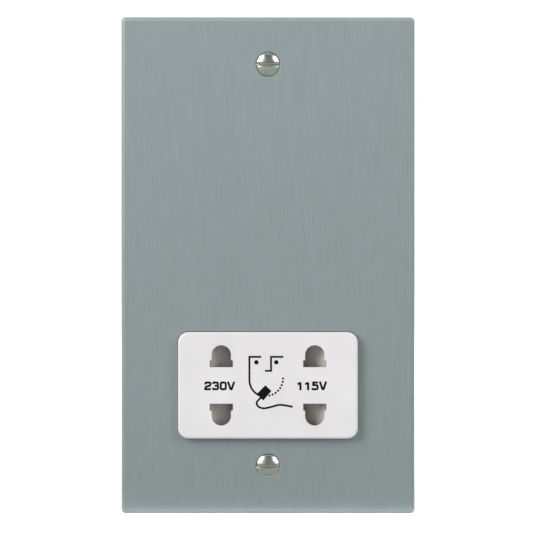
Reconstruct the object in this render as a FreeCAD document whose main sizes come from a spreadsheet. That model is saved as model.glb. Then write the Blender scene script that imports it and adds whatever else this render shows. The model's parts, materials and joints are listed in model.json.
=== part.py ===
import FreeCAD, Part
import math
import os
import re
import Sketcher

V = FreeCAD.Vector
NEAR = 0.01
SHARE_OF_RUN = 0.45

# driving sizes in millimetres
SIZES = {
    # front plate
    "plate_width": 88.0,
    "plate_height": 149.0,
    "plate_thickness": 2.5,
    "plate_edge": 1.1,
    "corner_land": 0.2,
    # fixing screws
    "fixing_pitch": 120.6,
    "screw_diameter": 3.5,
    "screw_neck": 3.1,
    "screw_head": 7.3,
    "screw_dome": 1.0,
    "screw_slot": 1.2,
    "screw_slot_depth": 1.1,
    "screw_reach": 25.0,
    "screw_clearance": 0.25,
    "head_gap": 0.2,
    # white socket face
    "face_width": 54.0,
    "face_height": 32.0,
    "face_corner": 3.2,
    "face_edge": 0.8,
    "face_proud": 2.5,
    "outlet_margin": 19.0,
    "face_gap": 0.2,
    "panel_thickness": 2.4,
    "boss_wall": 1.8,
    # outlets
    "outlet_pitch": 28.0,
    "blade_width": 6.95,
    "blade_height": 2.1,
    "pin_width": 5.8,
    "slot_inner": 5.45,
    "slot_outer": 12.05,
    # flange and rear housing
    "module_width": 69.0,
    "lug_clearance": 5.3,
    "module_depth": 40.0,
    "flange_thickness": 2.0,
    "rim_thickness": 2.0,
    "flange_corner": 3.0,
    "ear_height": 8.0,
    "lug_width": 26.0,
    "housing_wall": 1.8,
    "housing_corner": 2.4,
    "housing_edge": 1.2,
    "bay_height": 15.5,
    "loom_depth": 6.2,
    "vent_width": 2.2,
    "vent_height": 26.0,
    "vent_pitch": 5.5,
    "rib_width": 2.0,
    "rib_side": 20.0,
    "ledge_height": 4.0,
    "seat_gap": 0.3,
    # studs, washer and nuts
    "stud_side": 24.0,
    "stud_diameter": 3.0,
    "stud_proud": 1.2,
    "stud_clearance": 0.2,
    "washer_diameter": 7.0,
    "washer_thickness": 0.8,
    "nut_flats": 5.5,
    "nut_height": 2.4,
    # earth terminal
    "tag_leg": 11.0,
    "tag_screw": 3.5,
    "tag_screw_head": 6.0,
    "tag_screw_head_height": 2.0,
    "tag_screw_tail": 2.5,
    # shutter slider and its spring
    "running_gap": 0.2,
    "shutter_lap": 0.1,
    "slider_thickness": 2.1,
    "slider_frame": 2.0,
    "window_margin": 0.6,
    "ramp_crest": 0.8,
    "ramp_toe": 1.6,
    "ramp_steep": 1.3,
    "steep_share": 0.43,
    "spring_length": 18.0,
    "spring_diameter": 4.0,
    "spring_wire": 0.45,
    "spring_turns": 8.0,
    "spring_seat_gap": 0.05,
    "spring_clear": 0.2,
    "spring_skin": 0.8,
    "turn_sides": 8.0,
    "wire_sides": 6.0,
    "spring_side": 1.3,
    "post_thickness": 1.2,
    "post_height": 1.6,
    # contacts and their carrier
    "contact_setback": 1.0,
    "contact_length": 10.5,
    "contact_thickness": 0.5,
    "contact_width": 6.8,
    "contact_pinch": 3.6,
    "contact_mouth": 6.2,
    "pinch_depth": 3.0,
    "contact_height": 6.4,
    "tail_height": 3.0,
    "tail_length": 2.5,
    "tail_gap": 0.15,
    "pocket_gap": 0.4,
    "carrier_floor": 3.0,
    "carrier_roof": 2.0,
    "carrier_wall": 2.0,
    "carrier_web": 3.0,
    # switch that the slider works
    "leaf_thickness": 0.3,
    "leaf_width": 1.8,
    "leaf_lift": 2.2,
    "leaf_reach": 9.0,
    "bump_depth": 0.75,
    "bump_flat": 0.8,
    "notch_depth": 1.2,
    "notch_width": 3.8,
    "switch_gap": 1.0,
    "switch_room": 12.0,
    "switch_lap": 5.0,
    "tab_width": 2.6,
    # transformer
    "core_rise": 20.0,
    "core_limb": 8.0,
    "core_stack": 20.0,
    "core_gap": 0.05,
    "former_gap": 0.2,
    "former_wall": 1.0,
    "coil_clear": 0.3,
    "coil_room": 0.4,
    "winding_margin": 1.2,
    "winding_corner": 3.0,
    "strap_width": 7.0,
    "strap_thickness": 0.8,
    "strap_gap": 0.1,
    "strap_drop": 1.0,
    "boss_width": 6.4,
    "clip_thickness": 2.0,
    "clip_nose": 1.5,
    "clip_hold": 1.2,
    "clip_width": 5.0,
    "cutout_length": 16.0,
    "cutout_depth": 9.0,
    "cutout_height": 5.0,
    # small pan-head screws
    "small_screw": 2.9,
    "small_head": 5.2,
    "small_head_height": 1.8,
    "small_reach": 7.0,
    "small_gap": 0.1,
    # supply terminals
    "block_width": 42.0,
    "block_height": 12.5,
    "block_depth": 11.0,
    "block_gap": 0.4,
    "terminal_pitch": 18.0,
    "pillar_width": 7.4,
    "pillar_depth": 8.0,
    "pillar_height": 10.0,
    "pillar_gap": 0.15,
    "wire_bore": 3.8,
    "clamp_screw": 3.0,
    "clamp_open": 0.6,
    "access_bore": 4.0,
    "pillar_tail": 2.0,
    "pillar_tail_length": 4.5,
    "block_screw_end": 1.5,
    # leads
    "lead_diameter": 1.6,
    "lead_bend": 5.0,
    "lead_room": 4.0,
}

# places that follow from the sizes: depth is along Y, zero at the wall, and level is along Z
PLACES = {
    "plate_front": "-plate_thickness",
    "plate_corner": "plate_edge + corner_land",
    "face_front": "plate_front - face_proud",
    "panel_back": "face_front + panel_thickness",
    "rim_back": "flange_thickness + rim_thickness",
    "module_height": "fixing_pitch - 2 * lug_clearance",
    "face_drop": "module_height / 2 - outlet_margin",
    "outlet_level": "-(face_drop)",
    "half_inside": "module_width / 2 - housing_wall",
    "inner_back": "module_depth - housing_wall",
    "bay_inner": "carrier_back + loom_depth",
    "bay_floor": "bay_inner + housing_wall",
    "bay_top": "bay_height - module_height / 2",
    "stud_rise": "module_height / 2 + ear_height / 2",
    "tag_side": "-stud_side + washer_diameter / 2 + 2 * washer_thickness",
    "ramp_width": "blade_width + 2 * shutter_lap",
    "ramp_inner": "outlet_pitch / 2 - ramp_width / 2",
    "ramp_outer": "outlet_pitch / 2 + ramp_width / 2",
    "window_inner": "slot_inner - window_margin",
    "window_outer": "slot_outer + window_margin",
    "slider_end": "ramp_outer + ramp_width",
    "slider_top": "window_outer + slider_frame",
    "slider_front": "flange_thickness + running_gap",
    "slider_back": "slider_front + slider_thickness",
    "ramp_front": "panel_back + running_gap",
    "ramp_back": "slider_front - ramp_toe",
    "ramp_knee": "ramp_front + steep_share * (ramp_back - ramp_front)",
    "spring_middle": "(slider_front + slider_back) / 2",
    "spring_room": "spring_diameter / 2 + spring_clear",
    "post_side": "spring_length / 2 + spring_seat_gap",
    "slit_end": "post_side + post_thickness + ramp_width + spring_clear",
    "carrier_front": "slider_back + running_gap",
    "contact_front": "carrier_front + contact_setback",
    "contact_back": "contact_front + contact_length",
    "contact_level": "(slot_inner + slot_outer) / 2",
    "carrier_back": "contact_back + carrier_floor",
    "carrier_bottom": "face_drop - module_height / 2 + housing_wall + seat_gap",
    "leaf_level": "slider_top + leaf_lift",
    "bump_level": "slider_top - bump_depth",
    "fixed_level": "leaf_level + switch_gap",
    "carrier_top": "fixed_level + carrier_roof",
    "tab_side": "switch_room + tab_width / 2",
    "core_middle": "(flange_thickness + inner_back) / 2",
    "core_front": "core_middle - core_stack / 2",
    "core_rear": "core_middle + core_stack / 2",
    "tube_side": "core_limb + former_gap",
    "tube_deep": "core_stack / 2 + former_gap",
    "cheek_side": "2 * core_limb - coil_clear",
    "cheek_deep": "(inner_back - flange_thickness) / 2 - coil_room",
    "former_half": "1.5 * core_limb - coil_clear",
    "strap_seat": "core_rear - strap_drop",
    "strap_side": "3 * core_limb + strap_gap",
    "strap_foot": "strap_side + strap_thickness + boss_width + strap_gap",
    "strap_screw_side": "strap_side + strap_thickness + strap_gap + boss_width / 2",
    "strap_level": "core_rise + 2 * core_limb",
    "clip_level": "core_rise - 2 * core_limb",
    "block_top": "bay_top - block_gap",
    "block_back": "bay_floor + block_depth",
    "pillar_middle": "block_top - block_height + pillar_height / 2",
    "pillar_front": "bay_floor + former_wall",
    "pillar_back": "pillar_front + pillar_depth",
    "block_screw_level": "block_top - block_height + boss_width / 2",
    "tag_end": "carrier_back + tail_length",
    "tag_middle": "carrier_back + tail_length / 2",
    "upper_tail": "outlet_level + contact_level",
    "lower_tail": "outlet_level - contact_level",
    "tail_side": "outlet_pitch / 2 - contact_thickness / 2",
    "tail_far_side": "outlet_pitch / 2 + contact_thickness / 2",
    "stem_middle": "bay_inner - pillar_tail_length / 2",
    "stem_top": "pillar_middle + pillar_tail / 2",
    "loom_back": "core_rear + lead_room",
    "lane_side": "(strap_side + strap_thickness + half_inside) / 2",
    "coil_top": "core_rise + former_half",
    "coil_bottom": "core_rise - former_half",
    "core_bottom": "core_rise - 2.5 * core_limb",
    "cutout_level": "core_rise + 2.5 * core_limb + cutout_height / 2",
    "cutout_end": "cutout_length / 2",
}

doc = FreeCAD.newDocument("ShaverSocket")
sheet = doc.addObject("Spreadsheet::Sheet", "Sizes")
for row, (alias, size) in enumerate(SIZES.items(), start=1):
    sheet.set(f"A{row}", alias)
    sheet.set(f"B{row}", str(size))
    sheet.setAlias(f"B{row}", alias)
doc.recompute()

sub_parts = []


def spelled(text):
    """The expression with each place worked out and each size read from its cell."""

    def word(match):
        name = match.group(0)
        if name in PLACES:
            return f"({spelled(PLACES[name])})"
        return f"Sizes.{name}" if name in SIZES else name

    return re.sub(r"[a-z_]+", word, text)


def value(text):
    """The expression's number as the sizes stand."""
    return float(sheet.evalExpression(spelled(text)))


def bind(thing, name, text):
    """Ties a property to an expression of the sizes."""
    thing.setExpression(name, spelled(text))


def new_body(label, across="0", depth="0", level="0"):
    """An empty body, placed at a spot of the assembly."""
    body = doc.addObject("PartDesign::Body", label)
    for axis, text in (("x", across), ("y", depth), ("z", level)):
        bind(body, f"Placement.Base.{axis}", text)
    sub_parts.append(body)
    return body


def sketch_on(body, role, shift="0"):
    """An empty sketch on one of the body's planes, shifted along the plane's normal."""
    sketch = body.newObject("Sketcher::SketchObject", f"{body.Label}_sketch")
    plane = next(feature for feature in body.Origin.OriginFeatures if feature.Role == role)
    sketch.AttachmentSupport = (plane, [""])
    sketch.MapMode = "FlatFace"
    bind(sketch, "AttachmentOffset.Base.z", shift)
    return sketch


def face_sketch(body, depth="0"):
    """A sketch that faces the front, at a depth: across is X and up is Z."""
    return sketch_on(body, "XZ_Plane", f"-({depth})")


def fix(sketch, kind, *where, text):
    """A driving constraint whose value follows an expression."""
    index = sketch.addConstraint(Sketcher.Constraint(kind, *where, value(text)))
    sketch.setExpression(f"Constraints[{index}]", spelled(text))


def fix_along(sketch, axis, element, end, text):
    """Ties one end of a sketch element to its distance from the origin along X or Y."""
    if text == "0":
        origin_line = {"X": -2, "Y": -1}[axis]
        sketch.addConstraint(Sketcher.Constraint("PointOnObject", element, end, origin_line))
    else:
        fix(sketch, f"Distance{axis}", -1, 1, element, end, text=text)


def arc_between(start, finish, centre, turn):
    """A circular arc from start to finish, drawn the way round that turn gives."""
    if turn < 0:
        start, finish = finish, start
    first = start - centre
    last = finish - centre
    circle = Part.Circle(centre, V(0, 0, 1), first.Length)
    return Part.ArcOfCircle(circle, circle.parameter(centre + first), circle.parameter(centre + last))


def outline(sketch, points, arcs=None):
    """A closed outline through points; arcs gives a side's centre and its turn, 1 or -1."""
    arcs = arcs or {}
    spots = [V(value(across), value(up), 0) for across, up in points]
    first = sketch.GeometryCount
    count = len(points)
    heads = {}
    for side in range(count):
        start, finish = spots[side], spots[(side + 1) % count]
        heads[side] = 1
        if side in arcs:
            across, up, turn = arcs[side]
            heads[side] = 1 if turn > 0 else 2
            sketch.addGeometry(arc_between(start, finish, V(value(across), value(up), 0), turn))
        else:
            sketch.addGeometry(Part.LineSegment(start, finish))
    for side in range(count):
        after = (side + 1) % count
        joined = ("Coincident", first + side, 3 - heads[side], first + after, heads[after])
        sketch.addConstraint(Sketcher.Constraint(*joined))
        fix_along(sketch, "X", first + side, heads[side], points[side][0])
        fix_along(sketch, "Y", first + side, heads[side], points[side][1])
    for side, (_, up, _) in arcs.items():
        fix_along(sketch, "Y", first + side, 3, up)
    return sketch


def box_outline(sketch, left, right, bottom, top):
    """A plain rectangle between four distances."""
    return outline(sketch, [(left, bottom), (right, bottom), (right, top), (left, top)])


def centred_box(sketch, width, height, across="0", up="0"):
    """A plain rectangle about a centre."""
    reach, rise = f"({width}) / 2", f"({height}) / 2"
    sides = (f"{across} - {reach}", f"{across} + {reach}")
    return box_outline(sketch, *sides, f"{up} - {rise}", f"{up} + {rise}")


def rounded_box(sketch, width, height, radius, across="0", up="0"):
    """A rectangle about a centre with four equal round corners."""
    left, right = f"{across} - ({width}) / 2", f"{across} + ({width}) / 2"
    bottom, top = f"{up} - ({height}) / 2", f"{up} + ({height}) / 2"
    low_x, high_x, low_y, high_y = (value(text) for text in (left, right, bottom, top))
    bend = value(radius)
    first = sketch.GeometryCount
    corners = [
        (V(high_x - bend, low_y + bend, 0), V(0, -bend, 0), V(bend, 0, 0)),
        (V(high_x - bend, high_y - bend, 0), V(bend, 0, 0), V(0, bend, 0)),
        (V(low_x + bend, high_y - bend, 0), V(0, bend, 0), V(-bend, 0, 0)),
        (V(low_x + bend, low_y + bend, 0), V(-bend, 0, 0), V(0, -bend, 0)),
    ]
    for number, (centre, start, finish) in enumerate(corners):
        before, _, leave = corners[number - 1]
        sketch.addGeometry(Part.LineSegment(before + leave, centre + start))
        sketch.addGeometry(arc_between(centre + start, centre + finish, centre, 1))
    for number in range(8):
        joined = ("Tangent", first + number, 2, first + (number + 1) % 8, 1)
        sketch.addConstraint(Sketcher.Constraint(*joined))
    for number, kind in ((0, "Horizontal"), (2, "Vertical"), (4, "Horizontal"), (6, "Vertical")):
        sketch.addConstraint(Sketcher.Constraint(kind, first + number))
    for number in (3, 5, 7):
        sketch.addConstraint(Sketcher.Constraint("Equal", first + 1, first + number))
    fix(sketch, "Radius", first + 1, text=radius)
    fix_along(sketch, "Y", first, 1, bottom)
    fix_along(sketch, "X", first + 2, 1, right)
    fix_along(sketch, "Y", first + 4, 1, top)
    fix_along(sketch, "X", first + 6, 1, left)
    return sketch


def circles(sketch, diameter, spots):
    """Equal circles at spots."""
    for across, up in spots:
        circle = Part.Circle(V(value(across), value(up), 0), V(0, 0, 1), value(diameter) / 2)
        number = sketch.addGeometry(circle)
        fix(sketch, "Diameter", number, text=diameter)
        fix_along(sketch, "X", number, 3, across)
        fix_along(sketch, "Y", number, 3, up)
    return sketch


def feature(body, kind, profile):
    """A feature of a sketch, made the body's tip."""
    made = body.newObject(f"PartDesign::{kind}", f"{body.Label}_{kind.lower()}")
    made.Profile = profile
    body.Tip = made
    return made


def pad(body, sketch, length, reverse=False, both=False):
    """Adds a sketch's outline, drawn out along its normal, or both ways about the sketch."""
    made = feature(body, "Pad", sketch)
    bind(made, "Length", length)
    made.Reversed = reverse
    made.SideType = "Symmetric" if both else "One side"
    doc.recompute()
    return made


def pocket(body, sketch, length, reverse=False, both=False):
    """Cuts a sketch's outline against its normal, or both ways, and sees that it took material."""
    before = body.Shape.Volume
    made = feature(body, "Pocket", sketch)
    bind(made, "Length", length)
    made.Reversed = reverse
    made.SideType = "Symmetric" if both else "One side"
    doc.recompute()
    if not body.Shape.Volume < before:
        raise RuntimeError(f"a pocket of {body.Label} cuts nothing")
    return made


def front_pad(body, sketch, length):
    """Draws a front-facing sketch back into the wall."""
    return pad(body, sketch, length, reverse=True)


def turned(body, kind, sketch):
    """A revolution or groove about the sketch's own horizontal line."""
    made = feature(body, kind, sketch)
    made.ReferenceAxis = (sketch, ["H_Axis"])
    made.Angle = 360
    doc.recompute()
    return made


def mirrored(body, original, role):
    """Repeats a feature on the other side of one of the body's planes."""
    made = body.newObject("PartDesign::Mirrored", f"{body.Label}_mirrored")
    plane = next(feature for feature in body.Origin.OriginFeatures if feature.Role == role)
    made.Originals = [original]
    made.MirrorPlane = (plane, [""])
    body.Tip = made
    doc.recompute()
    return made


def lies_at(edge, axis, text):
    """Whether an edge lies wholly at one distance along an axis."""
    box = edge.BoundBox
    distance = value(text)
    low, high = getattr(box, f"{axis}Min"), getattr(box, f"{axis}Max")
    return abs(low - distance) < NEAR and abs(high - distance) < NEAR


def runs_along(edge, axis):
    """Whether an edge is straight along an axis."""
    lengths = {name: getattr(edge.BoundBox, f"{name}Length") for name in "XYZ"}
    return lengths[axis] > NEAR and all(lengths[name] < NEAR for name in "XYZ" if name != axis)


def rounded(body, radius, chosen):
    """Rounds the edges that a test chooses."""
    base = body.Tip
    made = body.newObject("PartDesign::Fillet", f"{body.Label}_fillet")
    names = [f"Edge{n}" for n, edge in enumerate(base.Shape.Edges, start=1) if chosen(edge)]
    made.Base = (base, names)
    bind(made, "Radius", radius)
    body.Tip = made
    doc.recompute()
    return made


def bevelled(body, size, chosen):
    """Cuts a flat bevel along the edges that a test chooses."""
    base = body.Tip
    made = body.newObject("PartDesign::Chamfer", f"{body.Label}_chamfer")
    names = [f"Edge{n}" for n, edge in enumerate(base.Shape.Edges, start=1) if chosen(edge)]
    made.Base = (base, names)
    bind(made, "Size", size)
    body.Tip = made
    doc.recompute()
    return made


def wire_solid(label, points, diameter):
    """A many-sided wire along straight runs with mitred corners."""
    radius = value(diameter) / 2
    sides = int(value("wire_sides"))
    turn = FreeCAD.Rotation(V(0, 0, 1), points[1] - points[0])
    angles = [2 * math.pi * (n % sides) / sides for n in range(sides + 1)]
    ring = [points[0] + turn.multVec(V(math.cos(a), math.sin(a), 0) * radius) for a in angles]
    path = Part.makePolygon(points)
    solid = path.makePipeShell([Part.makePolygon(ring)], True, False, 1)
    section = sides / 2 * radius * radius * math.sin(2 * math.pi / sides)
    if abs(solid.Volume / (section * path.Length) - 1) > NEAR:
        raise RuntimeError(f"{label} has lost its section")
    made = doc.addObject("Part::Feature", label)
    made.Shape = solid
    sub_parts.append(made)
    return made


def four(across, up):
    """A spot and its mirror images, left and right, above and below the origin."""
    return [(f"{a}({across})", f"{b}({up})") for a in ("", "-") for b in ("", "-")]


STUD_SPOTS = [("stud_side", "stud_rise"), ("-stud_side", "-(stud_rise)")]
EARTH_SPOT = STUD_SPOTS[-1]
STRAP_SPOTS = [(f"{side}strap_screw_side", "strap_level") for side in ("", "-")]
TERMINAL_SPOTS = [(f"{side}terminal_pitch / 2", "pillar_middle") for side in ("-", "")]
BLOCK_SPOTS = [("0", "block_screw_level")]


def build_front_plate():
    body = new_body("front_plate")
    size = ("plate_width", "plate_height", "plate_corner")
    front_pad(body, rounded_box(face_sketch(body, "plate_front"), *size), "plate_thickness")
    rounded(body, "plate_edge", lambda edge: lies_at(edge, "Y", "plate_front"))
    size = ("face_width + 2 * face_gap", "face_height + 2 * face_gap", "face_corner + face_gap")
    opening = rounded_box(face_sketch(body, "plate_front"), *size, up="outlet_level")
    pocket(body, opening, "plate_thickness")
    bore = "screw_diameter / 2 + screw_clearance"
    rim = "screw_head / 2 + head_gap"
    sink = sketch_on(body, "YZ_Plane")
    bind(sink, "AttachmentOffset.Base.y", "fixing_pitch / 2")
    points = [
        ("plate_front", "0"),
        ("plate_front", rim),
        (f"plate_front + {rim} - ({bore})", bore),
        ("0", bore),
        ("0", "0"),
    ]
    mirrored(body, turned(body, "Groove", outline(sink, points)), "XY_Plane")


def build_fixing_screws():
    body = new_body("fixing_screws")
    profile = sketch_on(body, "YZ_Plane")
    bind(profile, "AttachmentOffset.Base.y", "fixing_pitch / 2")
    neck, head, thread = "screw_neck / 2", "screw_head / 2", "screw_diameter / 2"
    top = "plate_front - screw_dome"
    ball = "(screw_dome * screw_dome + screw_head * screw_head / 4) / (2 * screw_dome)"
    points = [
        (top, "0"),
        ("plate_front", head),
        (f"plate_front + {head} - {neck}", neck),
        ("0", neck),
        ("0", thread),
        ("screw_reach", thread),
        ("screw_reach", "0"),
    ]
    outline(profile, points, arcs={0: (f"{top} + {ball}", "0", -1)})
    shaft = turned(body, "Revolution", profile)
    slot = sketch_on(body, "YZ_Plane")
    bind(slot, "AttachmentOffset.Base.y", "fixing_pitch / 2")
    box_outline(slot, top, f"{top} + screw_slot_depth", "-screw_slot / 2", "screw_slot / 2")
    cut = pocket(body, slot, "2 * screw_head", both=True)
    pair = mirrored(body, shaft, "XY_Plane")
    pair.Originals = [shaft, cut]
    doc.recompute()


def flange_outline(body, depth):
    """The outline that the face's flange and the housing's rim share."""
    height = "module_height + 2 * ear_height"
    return rounded_box(face_sketch(body, depth), "module_width", height, "flange_corner")


def cut_lug_notches(body, depth, length):
    """The gaps at top and bottom where the wall box's lugs stand."""
    notches = face_sketch(body, depth)
    sides = ("-lug_width / 2", "lug_width / 2")
    far, close = "module_height / 2 + 2 * ear_height", "module_height / 2"
    box_outline(notches, *sides, close, far)
    box_outline(notches, *sides, f"-({far})", f"-({close})")
    pocket(body, notches, length)


def cut_stud_holes(body, depth, length):
    holes = face_sketch(body, depth)
    circles(holes, "stud_diameter + 2 * stud_clearance", STUD_SPOTS)
    pocket(body, holes, length)


def pin_slot(sketch, sign):
    """A right-hand slot: a step for flat blades at its inner end, a round end for pins outside."""

    def spot(across, up):
        return (f"outlet_pitch / 2 + {across}", f"outlet_level + {sign} * ({up})")

    blade, pin = "blade_width / 2", "pin_width / 2"
    step, bend = "slot_inner + blade_height", f"slot_outer - {pin}"
    right = [(blade, "slot_inner"), (blade, step), (pin, step), (pin, bend)]
    points = [spot(across, up) for across, up in right]
    points += [spot(f"-{across}", up) for across, up in reversed(right)]
    outline(sketch, points, arcs={3: (*spot("0", bend), sign)})


def build_socket_face():
    body = new_body("socket_face")
    front_pad(body, flange_outline(body, "0"), "flange_thickness")
    cut_lug_notches(body, "0", "flange_thickness")
    size = ("face_width", "face_height", "face_corner")
    boss = rounded_box(face_sketch(body, "face_front"), *size, up="outlet_level")
    front_pad(body, boss, "-face_front")
    rounded(body, "face_edge", lambda edge: lies_at(edge, "Y", "face_front"))
    size = ("face_width - 2 * boss_wall", "face_height - 2 * boss_wall", "face_corner - boss_wall")
    hollow = rounded_box(face_sketch(body, "flange_thickness"), *size, up="outlet_level")
    pocket(body, hollow, "flange_thickness - panel_back", reverse=True)
    slots = face_sketch(body, "face_front")
    for sign in (1, -1):
        pin_slot(slots, sign)
    mirrored(body, pocket(body, slots, "panel_thickness"), "YZ_Plane")
    cut_stud_holes(body, "0", "flange_thickness")


def build_studs():
    body = new_body("plate_studs")
    ends = circles(face_sketch(body), "stud_diameter", STUD_SPOTS)
    front_pad(body, ends, "rim_back + washer_thickness + nut_height + stud_proud")

    washers = new_body("stud_washer")
    spots = [spot for spot in STUD_SPOTS if spot != EARTH_SPOT]
    rings = circles(face_sketch(washers, "rim_back"), "washer_diameter", spots)
    circles(rings, "stud_diameter + 2 * stud_clearance", spots)
    front_pad(washers, rings, "washer_thickness")

    nuts = new_body("stud_nuts")
    faces = face_sketch(nuts, "rim_back + washer_thickness")
    flat, tip = "nut_flats / 2", "nut_flats / sqrt(3)"
    hexagon = [(flat, f"{tip} / 2"), ("0", tip), (f"-{flat}", f"{tip} / 2")]
    hexagon += [(f"-{flat}", f"-{tip} / 2"), ("0", f"-{tip}"), (flat, f"-{tip} / 2")]
    for across, up in STUD_SPOTS:
        outline(faces, [(f"{across} + {x}", f"{up} + {z}") for x, z in hexagon])
    circles(faces, "stud_diameter + 2 * small_gap", STUD_SPOTS)
    front_pad(nuts, faces, "nut_height")


def build_earth_terminal():
    tag = new_body("earth_terminal", level="-(stud_rise)")
    reach = "washer_diameter / 2"
    left, leg = f"-stud_side - {reach}", "tag_side - washer_thickness"
    base = face_sketch(tag, "rim_back")
    box_outline(base, left, "tag_side", f"-{reach}", reach)
    circles(base, "stud_diameter + 2 * stud_clearance", [("-stud_side", "0")])
    front_pad(tag, base, "washer_thickness")
    side = sketch_on(tag, "YZ_Plane", leg)
    box_outline(side, "rim_back", "rim_back + tag_leg", f"-{reach}", reach)
    pad(tag, side, "washer_thickness")
    middle = "rim_back + tag_leg - tag_screw_head / 2"
    hole = circles(sketch_on(tag, "YZ_Plane", "tag_side"), "tag_screw + 2 * small_gap", [(middle, "0")])
    pocket(tag, hole, "washer_thickness")

    screw = new_body("earth_screw", level="-(stud_rise)")
    head = circles(sketch_on(screw, "YZ_Plane", "tag_side"), "tag_screw_head", [(middle, "0")])
    pad(screw, head, "tag_screw_head_height")
    shank = circles(sketch_on(screw, "YZ_Plane", "tag_side"), "tag_screw", [(middle, "0")])
    pad(screw, shank, "washer_thickness + tag_screw_tail", reverse=True)


def build_shutter_slider():
    body = new_body("shutter_slider", level="outlet_level")
    base = centred_box(face_sketch(body, "slider_front"), "2 * slider_end", "2 * slider_top")
    front_pad(body, base, "slider_thickness")
    cover = "spring_middle - spring_room - spring_skin"
    width, height = "2 * (post_side + spring_side)", "2 * (spring_room + spring_side)"
    front_pad(body, centred_box(face_sketch(body, cover), width, height), f"slider_back - ({cover})")
    seat = centred_box(face_sketch(body, "slider_back"), "2 * post_side", "2 * spring_room")
    pocket(body, seat, "slider_back - spring_middle + spring_room", reverse=True)
    slits = face_sketch(body, "slider_back")
    gap = "post_height / 2 + spring_clear"
    box_outline(slits, "-slit_end", "slit_end", f"-({gap})", gap)
    pocket(body, slits, "slider_back - spring_middle + spring_room", reverse=True)
    windows = face_sketch(body, "slider_front")
    for low, high in (("window_inner", "window_outer"), ("-window_outer", "-window_inner")):
        box_outline(windows, "ramp_inner - ramp_width", "ramp_inner", low, high)
    mirrored(body, pocket(body, windows, "slider_thickness"), "YZ_Plane")
    for low, high in (("window_inner", "window_outer"), ("-window_outer", "-window_inner")):
        ramp = sketch_on(body, "XY_Plane", low)
        points = [
            ("ramp_inner", "slider_back"),
            ("ramp_outer", "slider_back"),
            ("ramp_outer", "ramp_front"),
            ("ramp_outer - ramp_crest", "ramp_front"),
            ("ramp_outer - ramp_crest - ramp_steep", "ramp_knee"),
            ("ramp_inner", "ramp_back"),
        ]
        mirrored(body, pad(body, outline(ramp, points), f"{high} - ({low})"), "YZ_Plane")
    notch = face_sketch(body, "slider_front")
    points = [
        ("-notch_width / 2", "slider_top"),
        ("-bump_flat", "slider_top - notch_depth"),
        ("bump_flat", "slider_top - notch_depth"),
        ("notch_width / 2", "slider_top"),
    ]
    pocket(body, outline(notch, points), "slider_thickness")


def build_centring_spring():
    coil = value("spring_diameter - spring_wire") / 2
    stretch = value("spring_length - spring_wire")
    runs = int(value("turn_sides * spring_turns"))
    points = []
    for number in range(runs + 1):
        angle = 2 * math.pi * number / value("turn_sides")
        along = stretch * (number / runs - 1 / 2)
        points.append(V(along, coil * math.cos(angle), coil * math.sin(angle)))
    spring = wire_solid("centring_spring", points, "spring_wire")
    bind(spring, "Placement.Base.y", "spring_middle")
    bind(spring, "Placement.Base.z", "outlet_level")
    doc.recompute()


def build_contact_carrier():
    body = new_body("contact_carrier", level="outlet_level")
    side = "half_inside - seat_gap"
    block = face_sketch(body, "carrier_front")
    box_outline(block, f"-({side})", side, "carrier_bottom", "carrier_top")
    front_pad(body, block, "carrier_back - carrier_front")
    rails = face_sketch(body, "flange_thickness")
    edge = "slider_top + running_gap"
    box_outline(rails, f"-({side})", side, "carrier_bottom", f"-({edge})")
    box_outline(rails, f"-({side})", side, edge, "carrier_top")
    front_pad(body, rails, "carrier_front - flange_thickness")
    posts = face_sketch(body, "spring_middle - spring_diameter / 2")
    rise = "post_height / 2"
    far = "post_side + post_thickness"
    box_outline(posts, "post_side", far, f"-{rise}", rise)
    box_outline(posts, f"-({far})", "-post_side", f"-{rise}", rise)
    front_pad(body, posts, "carrier_front - spring_middle + spring_diameter / 2")
    groove = centred_box(face_sketch(body, "carrier_front"), "2 * post_side", "2 * spring_room")
    pocket(body, groove, "spring_middle + spring_room - carrier_front")
    pockets = face_sketch(body, "carrier_front")
    tails = face_sketch(body, "contact_back")
    width = "contact_mouth + 2 * contact_thickness + 2 * pocket_gap"
    slot = ("contact_thickness + 2 * tail_gap", "tail_height + 2 * tail_gap")
    for across, up in four("outlet_pitch / 2", "contact_level"):
        centred_box(pockets, width, "contact_height + 2 * pocket_gap", across, up)
        centred_box(tails, *slot, across, up)
    pocket(body, pockets, "contact_back - carrier_front")
    pocket(body, tails, "carrier_floor")
    hollows = face_sketch(body, "carrier_back")
    inner = f"outlet_pitch / 2 - ({width}) / 2 - carrier_wall"
    outer = f"outlet_pitch / 2 + ({width}) / 2 + carrier_wall"
    rise = "slider_top - carrier_wall"
    box_outline(hollows, f"-({inner})", inner, f"-({rise})", rise)
    box_outline(hollows, outer, f"{side} - carrier_wall", f"-({rise})", rise)
    box_outline(hollows, f"carrier_wall - ({side})", f"-({outer})", f"-({rise})", rise)
    pocket(body, hollows, "carrier_back - carrier_front - carrier_web", reverse=True)
    room = face_sketch(body, "flange_thickness")
    roof = "fixed_level + carrier_roof / 2"
    box_outline(room, "-switch_room", "switch_room", edge, roof)
    pocket(body, room, "carrier_front - flange_thickness")
    tabs = face_sketch(body, "flange_thickness")
    thick = "leaf_thickness + 2 * tail_gap"
    wide = "tab_width + 2 * tail_gap"
    centred_box(tabs, wide, thick, "-(tab_side)", "leaf_level")
    centred_box(tabs, wide, thick, "tab_side", "fixed_level")
    pocket(body, tabs, "carrier_back - flange_thickness")


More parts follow.
